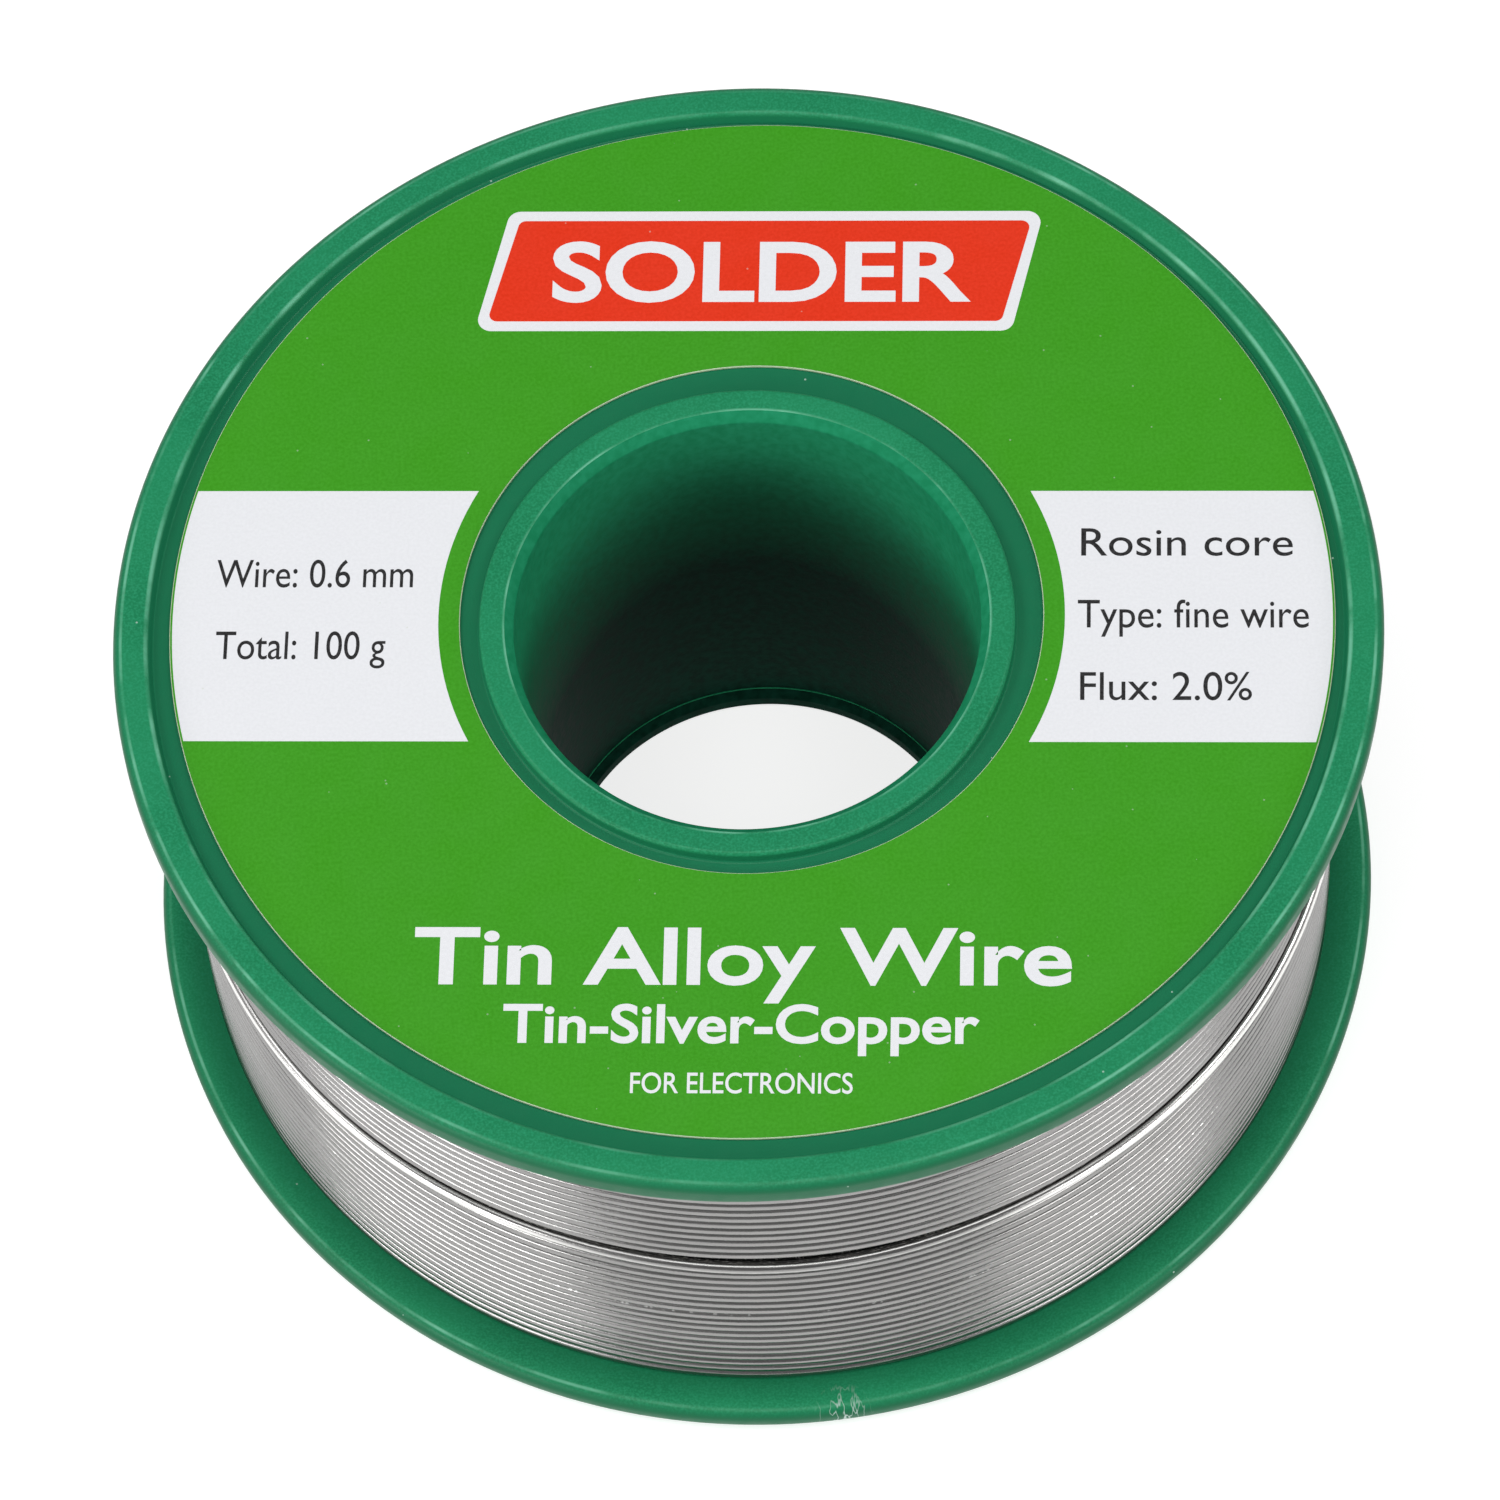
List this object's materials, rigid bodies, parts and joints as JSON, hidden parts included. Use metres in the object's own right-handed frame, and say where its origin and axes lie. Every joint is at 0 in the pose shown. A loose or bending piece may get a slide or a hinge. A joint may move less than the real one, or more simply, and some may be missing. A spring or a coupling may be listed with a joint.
{
  "type": "solder wire spool",
  "caption": "Small plastic spool of fine flux-cored solder wire, with a printed face label and an open spindle bore.",
  "frame": {"origin": "centre of the lower flange's bottom face, on the spool's axis", "axes": "+Z along the spool's axis from the lower flange to the labelled flange, +Y away from the label's reader"},
  "size_m": [0.0552, 0.0552, 0.0242],
  "materials": {
    "green_plastic": "satin",
    "printed_label": "satin",
    "solder_wire": "satin",
    "rosin_flux": "matte"
  },
  "bodies": {
    "spool": {"spool_body": "green_plastic", "lower_flange": "green_plastic", "face_label": "printed_label", "winding_layer_01": "solder_wire", "winding_layer_02": "solder_wire", "winding_layer_03": "solder_wire", "winding_layer_04": "solder_wire", "winding_layer_05": "solder_wire", "winding_layer_06": "solder_wire", "winding_layer_07": "solder_wire", "winding_layer_08": "solder_wire", "outer_turns_lower": "solder_wire", "outer_turns_upper": "solder_wire", "wire_take_off": "solder_wire", "wire_start": "solder_wire"},
    "free_end": {"free_end_sheath": "solder_wire", "free_end_flux_core": "rosin_flux"}
  },
  "joints": [
    {"name": "free_end_lift", "type": "hinge", "parent": "spool", "child": "free_end", "pos_m": [0.01287, 0.02202, 0.01295], "axis": [0, 0, -1], "range_deg": [0, 75]}
  ]
}
